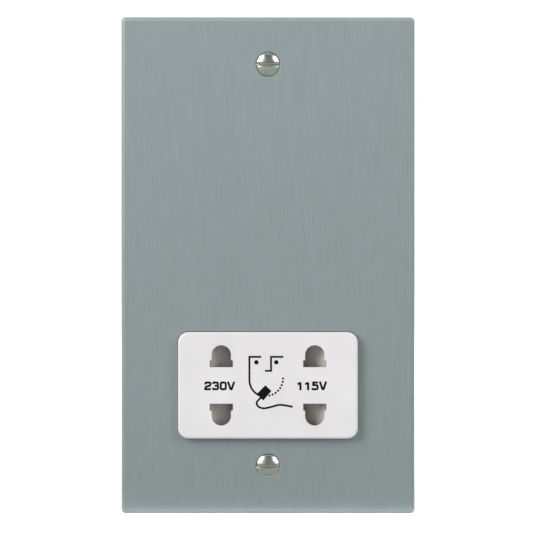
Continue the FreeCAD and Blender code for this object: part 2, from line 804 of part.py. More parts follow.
def build_contacts():
    mouth, pinch, back = "contact_mouth / 2", "contact_pinch / 2", "contact_width / 2"
    metal, deep = "contact_thickness", "contact_length"
    right = [
        (back, deep),
        (f"{pinch} + {metal}", "pinch_depth"),
        (f"{mouth} + {metal}", "0"),
        (mouth, "0"),
        (pinch, "pinch_depth"),
        (f"{back} - {metal}", f"{deep} - {metal}"),
    ]
    points = right + [(f"-({across})", up) for across, up in reversed(right)]
    for outlet, side in (("230", "-outlet_pitch / 2"), ("115", "outlet_pitch / 2")):
        for end, sign in (("upper", 1), ("lower", -1)):
            level = f"outlet_level + {sign} * contact_level"
            body = new_body(f"contact_{outlet}_{end}", side, "contact_front", level)
            pad(body, outline(sketch_on(body, "XY_Plane"), points), "contact_height", both=True)
            tail = sketch_on(body, "XY_Plane")
            ends = (deep, f"{deep} + carrier_floor + tail_length")
            box_outline(tail, f"-{metal} / 2", f"{metal} / 2", *ends)
            pad(body, tail, "tail_height", both=True)


def build_switch():
    half, front = "leaf_thickness / 2", "spring_middle - leaf_width / 2"
    leaf = new_body("switch_leaf", level="outlet_level")
    slope = "leaf_level - bump_level"
    line = [
        ("-tab_side - tab_width / 2", "leaf_level"),
        (f"-bump_flat / 2 - ({slope})", "leaf_level"),
        ("-bump_flat / 2", "bump_level"),
        ("bump_flat / 2", "bump_level"),
        (f"bump_flat / 2 + {slope}", "leaf_level"),
        ("leaf_reach", "leaf_level"),
    ]
    points = [(across, f"{up} - {half}") for across, up in line]
    points += [(across, f"{up} + {half}") for across, up in reversed(line)]
    front_pad(leaf, outline(face_sketch(leaf, front), points), "leaf_width")
    fixed = new_body("switch_contact", level="outlet_level")
    strip = face_sketch(fixed, front)
    ends = ("leaf_reach - switch_lap", "tab_side + tab_width / 2")
    box_outline(strip, *ends, f"fixed_level - {half}", f"fixed_level + {half}")
    front_pad(fixed, strip, "leaf_width")
    for body, side, level in ((leaf, "-(tab_side)", "leaf_level"), (fixed, "tab_side", "fixed_level")):
        tab = centred_box(face_sketch(body, front), "tab_width", "leaf_thickness", side, level)
        front_pad(body, tab, f"carrier_back + tail_length - ({front})")


def build_transformer():
    place = {"depth": "core_middle", "level": "core_rise"}
    limb = "core_limb"
    iron = new_body("transformer_e_core", **place)
    right = [
        (f"3 * {limb}", f"2.5 * {limb}"),
        (f"3 * {limb}", f"-1.5 * {limb}"),
        (f"2 * {limb}", f"-1.5 * {limb}"),
        (f"2 * {limb}", f"1.5 * {limb}"),
        (limb, f"1.5 * {limb}"),
        (limb, f"-1.5 * {limb}"),
    ]
    points = right + [(f"-{across}", up) for across, up in reversed(right)]
    pad(iron, outline(face_sketch(iron), points), "core_stack", both=True)

    bar = new_body("transformer_i_core", **place)
    sides = (f"-3 * {limb}", f"3 * {limb}")
    ends = box_outline(face_sketch(bar), *sides, f"-2.5 * {limb}", f"-1.5 * {limb} - core_gap")
    pad(bar, ends, "core_stack", both=True)

    former = new_body("coil_former", **place)
    tube = sketch_on(former, "XY_Plane")
    hole = ("2 * tube_side", "2 * tube_deep")
    centred_box(tube, *hole)
    centred_box(tube, f"{hole[0]} + 2 * former_wall", f"{hole[1]} + 2 * former_wall")
    pad(former, tube, "2 * former_half", both=True)
    for level in ("-former_half", "-former_wall / 2", "former_half - former_wall"):
        cheek = sketch_on(former, "XY_Plane", level)
        centred_box(cheek, *hole)
        centred_box(cheek, "2 * cheek_side", "2 * cheek_deep")
        pad(former, cheek, "former_wall")

    starts = {"primary_winding": "former_wall / 2", "secondary_winding": "former_wall - former_half"}
    for label, level in starts.items():
        winding = new_body(label, **place)
        turns = sketch_on(winding, "XY_Plane", level)
        centred_box(turns, f"{hole[0]} + 2 * former_wall", f"{hole[1]} + 2 * former_wall")
        size = ("2 * (cheek_side - winding_margin)", "2 * (cheek_deep - winding_margin)")
        rounded_box(turns, *size, "winding_corner")
        pad(winding, turns, "former_half - 1.5 * former_wall")


def build_core_strap():
    right = [
        ("strap_foot", "strap_seat"),
        ("strap_foot", "strap_seat - strap_thickness"),
        ("strap_side + strap_thickness", "strap_seat - strap_thickness"),
        ("strap_side + strap_thickness", "core_front - strap_thickness"),
    ]
    inside = [("strap_side", "core_front"), ("strap_side", "strap_seat")]
    points = right + [(f"-({across})", up) for across, up in reversed(right)]
    points += [(f"-({across})", up) for across, up in reversed(inside)] + inside
    spots = [(f"{side}strap_screw_side", "0") for side in ("", "-")]
    strap = new_body("core_strap", level="strap_level")
    pad(strap, outline(sketch_on(strap, "XY_Plane"), points), "strap_width", both=True)
    seat = face_sketch(strap, "strap_seat - strap_thickness")
    pocket(strap, circles(seat, "small_screw + 2 * small_gap", spots), "strap_thickness")


def pan_screws(label, spots, seat, reach, forward=False):
    """Pan-head screws along the depth, heads on a seat, shanks going back or forward."""
    body = new_body(label)
    pad(body, circles(face_sketch(body, seat), "small_head", spots), "small_head_height", reverse=forward)
    pad(body, circles(face_sketch(body, seat), "small_screw", spots), reach, reverse=not forward)


def build_thermal_cutout():
    body = new_body("thermal_cutout", depth="core_middle", level="core_rise + 2.5 * core_limb")
    base = centred_box(sketch_on(body, "XY_Plane"), "cutout_length", "cutout_depth")
    pad(body, base, "cutout_height")


def stepped_profile(body, wall, front):
    """The housing's section from the side: deep above, shallow over the terminal bay below."""
    bottom, top = f"{wall} - module_height / 2", f"module_height / 2 - {wall}"
    points = [
        (front, bottom),
        (front, top),
        (f"module_depth - {wall}", top),
        (f"module_depth - {wall}", f"bay_top + {wall}"),
        (f"bay_floor - {wall}", f"bay_top + {wall}"),
        (f"bay_floor - {wall}", bottom),
    ]
    return outline(sketch_on(body, "YZ_Plane"), points)


def tail_holes(body, depth):
    """The square holes that the terminals' tails go through."""
    sketch = face_sketch(body, depth)
    for across, up in TERMINAL_SPOTS:
        centred_box(sketch, "pillar_tail + 2 * pillar_gap", "pillar_tail + 2 * pillar_gap", across, up)
    return sketch


def build_rear_housing():
    body = new_body("rear_housing")
    pad(body, stepped_profile(body, "0", "flange_thickness"), "module_width", both=True)
    rounded(
        body,
        "housing_corner",
        lambda edge: runs_along(edge, "Y") and not lies_at(edge, "Z", "bay_top"),
    )
    bevelled(body, "housing_edge", lambda edge: lies_at(edge, "Y", "module_depth"))
    front_pad(body, flange_outline(body, "flange_thickness"), "rim_thickness")
    cut_lug_notches(body, "flange_thickness", "rim_thickness")
    cut_stud_holes(body, "flange_thickness", "rim_thickness")
    pocket(body, stepped_profile(body, "housing_wall", "flange_thickness"), "2 * half_inside", both=True)

    ribs = face_sketch(body, "core_rear")
    for side in ("-rib_side", "rib_side"):
        centred_box(ribs, "rib_width", "5 * core_limb", side, "core_rise")
    front_pad(body, ribs, "inner_back - core_rear")
    bosses = face_sketch(body, "strap_seat")
    for across, up in STRAP_SPOTS:
        centred_box(bosses, "boss_width", "boss_width", across, up)
    front_pad(body, bosses, "inner_back - strap_seat")
    pilots = circles(face_sketch(body, "strap_seat"), "small_screw + 2 * small_gap", STRAP_SPOTS)
    pocket(body, pilots, "small_reach")
    clip = sketch_on(body, "XY_Plane", "clip_level - clip_width / 2")
    tip = "3 * core_limb - clip_hold"
    points = [
        ("strap_side", "inner_back"),
        ("strap_side + clip_thickness", "inner_back"),
        ("strap_side + clip_thickness", "core_front - clip_nose"),
        ("strap_side", "core_front - clip_nose"),
        (tip, "core_front - clip_nose / 3"),
        (tip, "core_front"),
        ("strap_side", "core_front"),
    ]
    mirrored(body, pad(body, outline(clip, points), "clip_width"), "YZ_Plane")

    low = face_sketch(body, "carrier_back")
    level = "ledge_height / 2 + housing_wall - module_height / 2"
    for side in ("-rib_side", "rib_side"):
        centred_box(low, "rib_width", "ledge_height", side, level)
    front_pad(body, low, "bay_inner - carrier_back")
    high = face_sketch(body, "carrier_back")
    level = "outlet_level + carrier_top - ledge_height / 2"
    for side in ("rib_width / 2 - half_inside", "half_inside - rib_width / 2"):
        centred_box(high, "rib_width", "ledge_height", side, level)
    front_pad(body, high, "inner_back - carrier_back")

    vents = face_sketch(body, "inner_back")
    for number in range(-2, 3):
        centred_box(vents, "vent_width", "vent_height", f"{number} * vent_pitch", "core_rise")
    pocket(body, vents, "housing_wall")
    pocket(body, tail_holes(body, "bay_inner"), "housing_wall")
    boss = face_sketch(body, "carrier_back + seat_gap")
    centred_box(boss, "boss_width", "boss_width", *BLOCK_SPOTS[0])
    front_pad(body, boss, "bay_inner - carrier_back - seat_gap")
    pilot = circles(face_sketch(body, "bay_floor"), "small_screw + 2 * small_gap", BLOCK_SPOTS)
    pocket(body, pilot, "bay_floor - carrier_back", reverse=True)


def build_terminals():
    block = new_body("terminal_block")
    bottom = "block_top - block_height"
    base = face_sketch(block, "bay_floor")
    box_outline(base, "-block_width / 2", "block_width / 2", bottom, "block_top")
    front_pad(block, base, "block_depth")
    bevelled(block, "former_wall", lambda edge: lies_at(edge, "Y", "block_back"))
    cells = sketch_on(block, "XY_Plane", bottom)
    wide = "pillar_width / 2 + pillar_gap"
    for across, _ in TERMINAL_SPOTS:
        sides = (f"{across} - ({wide})", f"{across} + {wide}")
        box_outline(cells, *sides, "pillar_front", "pillar_back + pillar_gap")
    pocket(block, cells, "pillar_height + pillar_gap", reverse=True)
    access = circles(face_sketch(block, "pillar_front"), "access_bore", TERMINAL_SPOTS)
    pocket(block, access, "block_back - pillar_front")
    pocket(block, tail_holes(block, "bay_floor"), "pillar_front - bay_floor")
    hole = circles(face_sketch(block, "bay_floor"), "small_screw + 2 * small_gap", BLOCK_SPOTS)
    pocket(block, hole, "block_depth")

    for label, (across, level) in zip(("line_terminal", "neutral_terminal"), TERMINAL_SPOTS):
        pillar = new_body(label, across, "pillar_front", level)
        front_pad(pillar, centred_box(face_sketch(pillar), "pillar_width", "pillar_height"), "pillar_depth")
        tail = centred_box(face_sketch(pillar), "pillar_tail", "pillar_tail")
        pad(pillar, tail, "pillar_front - bay_inner + pillar_tail_length")
        wire = sketch_on(pillar, "XY_Plane", "-pillar_height / 2")
        circles(wire, "wire_bore", [("0", "pillar_depth / 2")])
        pocket(pillar, wire, "pillar_height", reverse=True)
        tapped = circles(face_sketch(pillar, "pillar_depth"), "clamp_screw + 2 * small_gap", [("0", "0")])
        pocket(pillar, tapped, "pillar_depth / 2", reverse=True)

    screws = new_body("terminal_screws")
    tip = "pillar_front + pillar_depth / 2 + wire_bore / 2 + small_gap"
    ends = circles(face_sketch(screws, tip), "clamp_screw", TERMINAL_SPOTS)
    front_pad(screws, ends, f"pillar_back + clamp_open - ({tip})")
    reach = "block_back - carrier_back - seat_gap - block_screw_end"
    pan_screws("block_screw", BLOCK_SPOTS, "block_back", reach, forward=True)


def bent_route(points, bend):
    """A route of straight runs, each corner eased as far as the bend and the shorter run allow."""
    eased = [points[0]]
    for before, corner, after in zip(points, points[1:], points[2:]):
        into, away = corner - before, after - corner
        shorter = min(into.Length, away.Length)
        half = into.getAngle(away) / 2
        into.normalize()
        away.normalize()
        reach = min(bend * math.tan(half), SHARE_OF_RUN * shorter)
        radius = reach / math.tan(half)
        inward = (away - into).normalize()
        middle = corner + inward * (radius / math.cos(half) - radius)
        eased += [corner - into * reach, middle, corner + away * reach]
    return eased + [points[-1]]


def build_lead(label, route):
    """An insulated lead along a route of places."""
    points = [V(*(value(text) for text in spot)) for spot in route]
    lead = wire_solid(label, bent_route(points, value("lead_bend")), "lead_diameter")
    lead.Placement = FreeCAD.Placement()


def build_leads():
    run = "lead_room"
    clear = "core_bottom - 2 * lead_room"
    build_lead("lead_line", [
        ("-terminal_pitch / 2", "stem_middle", "stem_top"),
        ("-terminal_pitch / 2", "stem_middle", f"bay_top + {run}"),
        ("-terminal_pitch / 2", f"tag_end + {run}", f"upper_tail + {run}"),
        ("-(tab_side)", f"tag_end + {run}", "outlet_level + leaf_level"),
        ("-(tab_side)", "tag_end", "outlet_level + leaf_level"),
    ])
    build_lead("lead_switched", [
        ("tab_side", "tag_end", "outlet_level + fixed_level"),
        ("tab_side", f"tag_end + {run}", "outlet_level + fixed_level"),
        ("lane_side", "core_middle", clear),
        ("lane_side", "core_middle", "cutout_level"),
        ("cutout_end", "core_middle", "cutout_level"),
    ])
    build_lead("lead_cutout", [
        ("-cutout_end", "core_middle", "cutout_level"),
        (f"-cutout_end - 2 * {run}", "core_middle", "cutout_level"),
        (f"-cutout_end - {run}", "loom_back", "cutout_level"),
        (f"-cutout_end - {run}", "loom_back", "coil_top"),
    ])
    build_lead("lead_neutral", [
        ("cutout_end", "loom_back", "coil_top"),
        ("cutout_end", "loom_back", f"cutout_level + {run}"),
        ("lane_side", f"core_middle - 2 * {run}", f"cutout_level + {run}"),
        ("lane_side", f"core_middle - 2 * {run}", "core_bottom"),
        (f"5 * {run}", f"core_middle + {run}", clear),
        ("terminal_pitch / 2", "loom_back", f"upper_tail - {run} / 2"),
        ("terminal_pitch / 2", "stem_middle", f"bay_top + {run}"),
        ("terminal_pitch / 2", "stem_middle", "stem_top"),
    ])
    for label, side, start in (
        ("lead_230_volts", "-outlet_pitch / 2", f"-2.5 * {run}"),
        ("lead_115_volts", "outlet_pitch / 2", run),
    ):
        build_lead(label, [
            (start, "loom_back", "coil_bottom"),
            (start, "loom_back", clear),
            (side, f"tag_end + 1.5 * {run}", "upper_tail"),
            (side, "tag_end", "upper_tail"),
        ])
    build_lead("lead_common", [
        (f"2.5 * {run}", "loom_back", "coil_bottom"),
        (f"2.5 * {run}", "loom_back", clear),
        (f"tail_far_side + 2.5 * {run}", f"tag_end + 1.5 * {run}", f"{clear} - 3 * {run}"),
        (f"tail_far_side + 2.5 * {run}", "tag_middle", f"bay_top + {run}"),
        (f"tail_far_side + 2.5 * {run}", "tag_middle", "lower_tail"),
        ("tail_far_side", "tag_middle", "lower_tail"),
    ])
    build_lead("lead_link", [
        ("tail_side", "tag_middle", "lower_tail"),
        ("-(tail_side)", "tag_middle", "lower_tail"),
    ])


def build_all():
    build_front_plate()
    build_fixing_screws()
    build_socket_face()
    build_studs()
    build_earth_terminal()
    build_shutter_slider()
    build_centring_spring()
    build_contact_carrier()
    build_contacts()
    build_switch()
    build_transformer()
    build_core_strap()
    pan_screws("strap_screws", STRAP_SPOTS, "strap_seat - strap_thickness", "small_reach")
    build_thermal_cutout()
    build_rear_housing()
    build_terminals()
    build_leads()


def check_all():
    doc.recompute()
    for thing in doc.Objects:
        if {"Invalid", "Error"} & set(thing.State):
            raise RuntimeError(f"{thing.Name} failed")
    for part in sub_parts:
        if part.Shape.isNull() or not part.Shape.isValid():
            raise RuntimeError(f"{part.Label} has no valid shape")


def write_all():
    os.makedirs("parts", exist_ok=True)
    for part in sub_parts:
        part.Shape.exportStep(f"parts/{part.Label}.step")


build_all()
check_all()
write_all()
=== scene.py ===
import json
import math

import bmesh
import bpy
from mathutils import Matrix, Vector


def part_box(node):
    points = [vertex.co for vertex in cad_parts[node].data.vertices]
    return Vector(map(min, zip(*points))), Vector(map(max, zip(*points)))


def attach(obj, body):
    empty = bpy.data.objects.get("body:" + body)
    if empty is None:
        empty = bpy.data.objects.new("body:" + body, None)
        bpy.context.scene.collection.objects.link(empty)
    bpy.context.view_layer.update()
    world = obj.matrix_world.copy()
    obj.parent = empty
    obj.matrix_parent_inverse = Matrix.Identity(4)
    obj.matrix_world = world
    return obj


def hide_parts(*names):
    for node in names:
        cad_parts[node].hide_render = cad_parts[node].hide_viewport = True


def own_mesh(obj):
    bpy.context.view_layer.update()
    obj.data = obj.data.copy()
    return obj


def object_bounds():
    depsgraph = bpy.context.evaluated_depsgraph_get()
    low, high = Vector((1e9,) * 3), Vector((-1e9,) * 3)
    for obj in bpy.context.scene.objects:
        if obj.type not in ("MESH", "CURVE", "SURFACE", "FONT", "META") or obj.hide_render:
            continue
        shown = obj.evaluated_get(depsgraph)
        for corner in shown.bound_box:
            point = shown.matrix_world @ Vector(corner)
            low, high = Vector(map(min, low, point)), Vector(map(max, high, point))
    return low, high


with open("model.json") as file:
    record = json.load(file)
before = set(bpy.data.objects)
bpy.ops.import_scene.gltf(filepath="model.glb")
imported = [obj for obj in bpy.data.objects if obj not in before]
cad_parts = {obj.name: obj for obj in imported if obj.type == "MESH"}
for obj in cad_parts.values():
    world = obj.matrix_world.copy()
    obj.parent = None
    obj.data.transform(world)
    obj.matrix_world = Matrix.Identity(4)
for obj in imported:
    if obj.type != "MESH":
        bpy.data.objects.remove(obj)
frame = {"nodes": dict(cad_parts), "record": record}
cad_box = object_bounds()
nodes = frame["nodes"]
MM = 0.001

# camera: straight at the plate, the photograph's frame as wide as FRAME_WIDTH at the plate's face
FRAME_WIDTH = 159.98 * MM
FRAME_SHIFT = (-0.46 * MM, -0.39 * MM)
LENS = 200.0
SENSOR = 36.0
CLIP_START = 0.01

# rounding of the CAD edges
EDGE_ROUND = 0.12 * MM
EDGE_ANGLE = math.radians(35)
EDGE_STEPS = 2
WELD = 0.001 * MM

# the middle of a texture's range, where most of its values lie
TEXTURE_RANGE = (0.3, 0.7)

# X and Y of the direction across the plate's grain, just off X, which is the normal of the plate's sides
ACROSS_GRAIN = (1.0, 0.02)

# screws: flanks rise by THREAD_SLOPE thread heights in a pitch, a fine thread's core is CORE_SHARE of its
# radius, and the round bottom of a driver slot has a radius of SLOT_BALL slot widths
TURN_STEPS = 36
THREAD_STEPS = 6
THREAD_SLOPE = 2.4
FINE_PITCH = 0.5 * MM
CORE_SHARE = 0.8
SLOT_EDGE = 0.08 * MM
SLOT_BALL = 0.6
SLOT_STEPS = 8

# ink on the white face
INK = 0.02 * MM
SIGN_STROKE = 0.58 * MM
TEXT_STROKE = 0.64 * MM
TEXT_PITCH = 2.3 * MM
TEXT_LEVEL = -1.12 * MM
TEXT_STARTS = {"230V": -18.75 * MM, "115V": 8.75 * MM}
MITRE_LEAST = 0.5
JAW_STEPS = 14
DISC_STEPS = 28
DOT_STEPS = 16


# small helpers
def new_object(name, mesh):
    """A piece of the object that rides on the fixed body."""
    made = bpy.data.objects.new(name, mesh)
    bpy.context.scene.collection.objects.link(made)
    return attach(made, "base")


def stand_in(name, mesh, slot, node):
    """A piece that stands for a node of the CAD, in the finish of one of the record's slots."""
    made = new_object(name, mesh)
    mesh.materials.clear()
    mesh.materials.append(MATERIALS[slot])
    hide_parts(node)
    return made


def mesh_of(build, name):
    """A mesh filled by a function that is given an empty bmesh."""
    work = bmesh.new()
    build(work)
    bmesh.ops.recalc_face_normals(work, faces=work.faces)
    mesh = bpy.data.meshes.new(name)
    work.to_mesh(mesh)
    work.free()
    return mesh


def skin(work, rings):
    """A closed surface through rings of places, where a ring of one place is a tip."""
    rings = [[work.verts.new(place) for place in ring] for ring in rings]
    for lower, upper in zip(rings, rings[1:]):
        count = max(len(lower), len(upper))
        for n in range(count):
            after = (n + 1) % count
            corners = [lower[n % len(lower)], lower[after % len(lower)]]
            corners += [upper[after % len(upper)], upper[n % len(upper)]]
            work.faces.new(list(dict.fromkeys(corners)))
    for end in (rings[0], rings[-1]):
        if len(end) > 1:
            work.faces.new(end)


def finished_mesh(made):
    """The object's mesh with its modifiers applied; the object itself goes."""
    graph = bpy.context.evaluated_depsgraph_get()
    mesh = bpy.data.meshes.new_from_object(made.evaluated_get(graph))
    bpy.data.objects.remove(made)
    return mesh


def middle_of(node):
    low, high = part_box(node)
    return (low + high) / 2


def map_range(tree, value, source, target):
    """A value of a node tree, with its source range turned into the target range."""
    node = tree.nodes.new("ShaderNodeMapRange")
    for word, (least, most) in (("From", source), ("To", target)):
        node.inputs[word + " Min"].default_value = least
        node.inputs[word + " Max"].default_value = most
    tree.links.new(value, node.inputs["Value"])
    return node.outputs["Result"]


def combined(tree, operation, first, second):
    """Two values of a node tree put together by a math node."""
    node = tree.nodes.new("ShaderNodeMath")
    node.operation = operation
    tree.links.new(first, node.inputs[0])
    tree.links.new(second, node.inputs[1])
    return node.outputs[0]


# node materials
class Surface:
    """A procedural material: a principled shader with textures in the object's own metres."""

    def __init__(self, name, colour, roughness, metallic=0.0):
        self.material = bpy.data.materials.new(name)
        self.material.use_nodes = True
        self.tree = self.material.node_tree
        self.nodes = self.tree.nodes
        self.links = self.tree.links
        self.shader = self.nodes["Principled BSDF"]
        self.shader.inputs["Metallic"].default_value = metallic
        self.colour = colour
        self.roughness = roughness
        self.place = self.nodes.new("ShaderNodeTexCoord").outputs["Object"]

    def noise(self, per_metre, stretch=(1, 1, 1), detail=4.0):
        mapping = self.nodes.new("ShaderNodeMapping")
        mapping.inputs["Scale"].default_value = stretch
        self.links.new(self.place, mapping.inputs["Vector"])
        texture = self.nodes.new("ShaderNodeTexNoise")
        texture.inputs["Scale"].default_value = per_metre
        texture.inputs["Detail"].default_value = detail
        self.links.new(mapping.outputs["Vector"], texture.inputs["Vector"])
        return texture.outputs["Fac"]

    def bands(self, per_metre, axis, distortion):
        texture = self.nodes.new("ShaderNodeTexWave")
        texture.bands_direction = axis
        texture.inputs["Scale"].default_value = per_metre
        texture.inputs["Distortion"].default_value = distortion
        self.links.new(self.place, texture.inputs["Vector"])
        return texture.outputs["Fac"]

    def tint(self, source, darker, lighter):
        """Base colour between two shades of the surface's colour."""
        ramp = self.nodes.new("ShaderNodeValToRGB")
        for stop, place, share in zip(ramp.color_ramp.elements, TEXTURE_RANGE, (darker, lighter)):
            stop.position = place
            stop.color = (*(min(1.0, part * share) for part in self.colour), 1)
        self.links.new(source, ramp.inputs["Fac"])
        self.links.new(ramp.outputs["Color"], self.shader.inputs["Base Color"])

    def gloss(self, source, spread):
        """Roughness that strays by the spread to either side."""
        target = (self.roughness - spread, self.roughness + spread)
        rough = map_range(self.tree, source, TEXTURE_RANGE, target)
        self.links.new(rough, self.shader.inputs["Roughness"])

    def relief(self, source, height):
        bump = self.nodes.new("ShaderNodeBump")
        bump.inputs["Distance"].default_value = height
        self.links.new(source, bump.inputs["Height"])
        self.links.new(bump.outputs["Normal"], self.shader.inputs["Normal"])


def moulded(name, colour, roughness, texture=0.006 * MM, grain=2600.0):
    """Moulded plastic: a fine spark-eroded texture and a faint cloudiness."""
    made = Surface(name, colour, roughness)
    fine = made.noise(per_metre=grain, detail=3.0)
    clouds = made.noise(per_metre=90.0, detail=5.0)
    made.tint(clouds, darker=0.965, lighter=1.03)
    made.gloss(fine, spread=0.05)
    made.relief(fine, height=texture)
    return made.material


def plated(name, colour, roughness):
    """Plated or rolled metal: cloudy tone, fine scratches in the gloss."""
    made = Surface(name, colour, roughness, metallic=1.0)
    clouds = made.noise(per_metre=450.0, detail=6.0)
    scratches = made.noise(per_metre=5200.0, stretch=(1, 0.12, 0.12), detail=2.0)
    made.tint(clouds, darker=0.86, lighter=1.08)
    made.gloss(scratches, spread=0.07)
    made.relief(scratches, height=0.0015 * MM)
    return made.material


def brushed(name, colour):
    """Brushed plate: fine grain and short faint streaks up and down."""
    made = Surface(name, colour, roughness=0.56, metallic=0.7)
    made.shader.inputs["Anisotropic"].default_value = 0.4
    across = made.nodes.new("ShaderNodeCombineXYZ")
    for axis, share in zip("XY", ACROSS_GRAIN):
        across.inputs[axis].default_value = share
    made.links.new(across.outputs["Vector"], made.shader.inputs["Tangent"])
    grain = made.noise(per_metre=7000.0, stretch=(1, 1, 0.02), detail=3.0)
    streaks = made.noise(per_metre=2600.0, stretch=(1, 1, 0.05))
    made.tint(streaks, darker=0.955, lighter=1.045)
    made.gloss(grain, spread=0.06)
    made.relief(grain, height=0.008 * MM)
    return made.material


def laminated(name, colour):
    """Varnished iron stampings: sheet edges along the stack."""
    made = Surface(name, colour, roughness=0.45, metallic=0.7)
    sheets = made.bands(per_metre=320.0, axis="Y", distortion=0.3)
    clouds = made.noise(per_metre=700.0, detail=5.0)
    made.tint(clouds, darker=0.75, lighter=1.2)
    made.gloss(sheets, spread=0.12)
    made.relief(sheets, height=0.04 * MM)
    return made.material


def wound(name, colour):
    """Enamelled wire, laid turn beside turn."""
    made = Surface(name, colour, roughness=0.3, metallic=0.6)
    turns = made.bands(per_metre=520.0, axis="Z", distortion=0.6)
    made.tint(turns, darker=0.72, lighter=1.1)
    made.gloss(made.noise(per_metre=1500.0), spread=0.1)
    made.relief(turns, height=0.08 * MM)
    return made.material


def sleeved(name, colour):
    """Insulated lead: smooth, faintly cloudy."""
    made = Surface(name, colour, roughness=0.38)
    made.tint(made.noise(per_metre=600.0), darker=0.9, lighter=1.1)
    made.gloss(made.noise(per_metre=2500.0), spread=0.06)
    made.relief(made.noise(per_metre=3000.0), height=0.004 * MM)
    return made.material


def printed(name, colour):
    """Pad-printed ink: dense, a little uneven."""
    made = Surface(name, colour, roughness=0.6)
    made.shader.inputs["Specular IOR Level"].default_value = 0.12
    made.tint(made.noise(per_metre=5000.0, detail=3.0), darker=0.8, lighter=1.3)
    made.gloss(made.noise(per_metre=4000.0), spread=0.08)
    return made.material


# each slot of the record: its kind of surface, its colour and what else that kind needs
FINISHES = {
    "plate_metal": (brushed, (0.339, 0.402, 0.406), {}),
    "screw_nickel": (plated, (0.69, 0.73, 0.66), {"roughness": 0.21}),
    "white_moulding": (moulded, (0.80, 0.785, 0.79), {"roughness": 0.34}),
    "shutter_grey": (moulded, (0.52, 0.47, 0.44), {"roughness": 0.5}),
    "carrier_black": (moulded, (0.035, 0.035, 0.037), {"roughness": 0.5, "texture": 0.012 * MM}),
    "housing_grey": (moulded, (0.46, 0.46, 0.45), {"roughness": 0.55, "texture": 0.02 * MM, "grain": 1700.0}),
    "zinc_steel": (plated, (0.62, 0.63, 0.65), {"roughness": 0.28}),
    "brass": (plated, (0.76, 0.56, 0.24), {"roughness": 0.26}),
    "spring_steel": (plated, (0.5, 0.5, 0.5), {"roughness": 0.25}),
    "contact_bronze": (plated, (0.72, 0.44, 0.22), {"roughness": 0.3}),
    "core_iron": (laminated, (0.09, 0.09, 0.10), {}),
    "former_plastic": (moulded, (0.62, 0.58, 0.46), {"roughness": 0.4}),
    "winding_copper": (wound, (0.55, 0.2, 0.08), {}),
    "cutout_black": (moulded, (0.02, 0.02, 0.02), {"roughness": 0.35}),
    "lead_brown": (sleeved, (0.09, 0.03, 0.012), {}),
    "lead_blue": (sleeved, (0.01, 0.05, 0.30), {}),
    "lead_black": (sleeved, (0.012, 0.012, 0.012), {}),
    "lead_red": (sleeved, (0.35, 0.01, 0.008), {}),
}
MATERIALS = {slot: kind(slot, colour, **needs) for slot, (kind, colour, needs) in FINISHES.items()}


def dress_cad_nodes():
    """Gives each CAD node its finish, and rounds its edges by modifiers."""
    for row in frame["record"]["subparts"]:
        part = nodes[row["node"]]
        part.material_slots[0].material = MATERIALS[row["material_slot"]]
        weld = part.modifiers.new("weld", "WELD")
        weld.merge_threshold = WELD
        bevel = part.modifiers.new("edges", "BEVEL")
        bevel.width = EDGE_ROUND
        bevel.segments = EDGE_STEPS
        bevel.limit_method = "ANGLE"
        bevel.angle_limit = EDGE_ANGLE
        bevel.harden_normals = True


# screws
def turned(radius, height, step):
    """A place on a turned piece about Z."""
    angle = 2 * math.pi * step / TURN_STEPS
    return (radius * math.cos(angle), radius * math.sin(angle), height)


def turned_mesh(profile, name):
    """A turned solid about Z through (radius, height) pairs, from one tip to the other."""
    rings = []
    for radius, height in profile:
        steps = 1 if radius < WELD else TURN_STEPS
        rings.append([turned(radius, height, step) for step in range(steps)])
    return mesh_of(lambda work: skin(work, rings), name)


def threaded_rod(core, crest, pitch, start, finish):
    """A threaded rod about Z, its crest winding up the rod."""
    rows = int((finish - start) / pitch * THREAD_STEPS)
    rings = []
    for row in range(rows + 1):
        height = start + (finish - start) * row / rows
        fade = max(0.0, min(1.0, (finish - height) / pitch, (height - start) / pitch))
        ring = []
        for step in range(TURN_STEPS):
            phase = ((height - start) / pitch - step / TURN_STEPS) % 1
            rise = min(1.0, THREAD_SLOPE * min(phase, 1 - phase))
            ring.append(turned(core + (crest - core) * rise * fade, height, step))
        rings.append(ring)
    return mesh_of(lambda work: skin(work, rings), "rod")


def slot_cutter(width, depth, reach):
    """A bar along X with a round underside, to cut a driver slot into a top at zero that faces down Z."""
    ball = SLOT_BALL * width
    lean = math.asin(width / 2 / ball)
    leans = (lean * (2 * n / SLOT_STEPS - 1) for n in range(SLOT_STEPS + 1))
    sides = [(ball * math.sin(a), depth - ball + ball * math.cos(a)) for a in leans]
    sides += [(width / 2, -depth), (-width / 2, -depth)]
    ends = [[(end, across, height) for across, height in sides] for end in (-reach, reach)]
    return mesh_of(lambda work: skin(work, ends), "cutter")


def slotted(profile, width, depth, reach):
    """A turned head with a driver slot across its top, which is at zero and faces down Z."""
    head = bpy.data.objects.new("head", turned_mesh(profile, "head"))
    cutter = bpy.data.objects.new("cutter", slot_cutter(width, depth, reach))
    for made in (head, cutter):
        bpy.context.scene.collection.objects.link(made)
    cut = head.modifiers.new("slot", "BOOLEAN")
    cut.object = cutter
    cut.solver = "EXACT"
    edges = head.modifiers.new("edges", "BEVEL")
    edges.width = SLOT_EDGE
    edges.segments = EDGE_STEPS
    edges.limit_method = "ANGLE"
    edges.angle_limit = EDGE_ANGLE
    bpy.context.view_layer.update()
    mesh = finished_mesh(head)
    bpy.data.objects.remove(cutter)
    return mesh


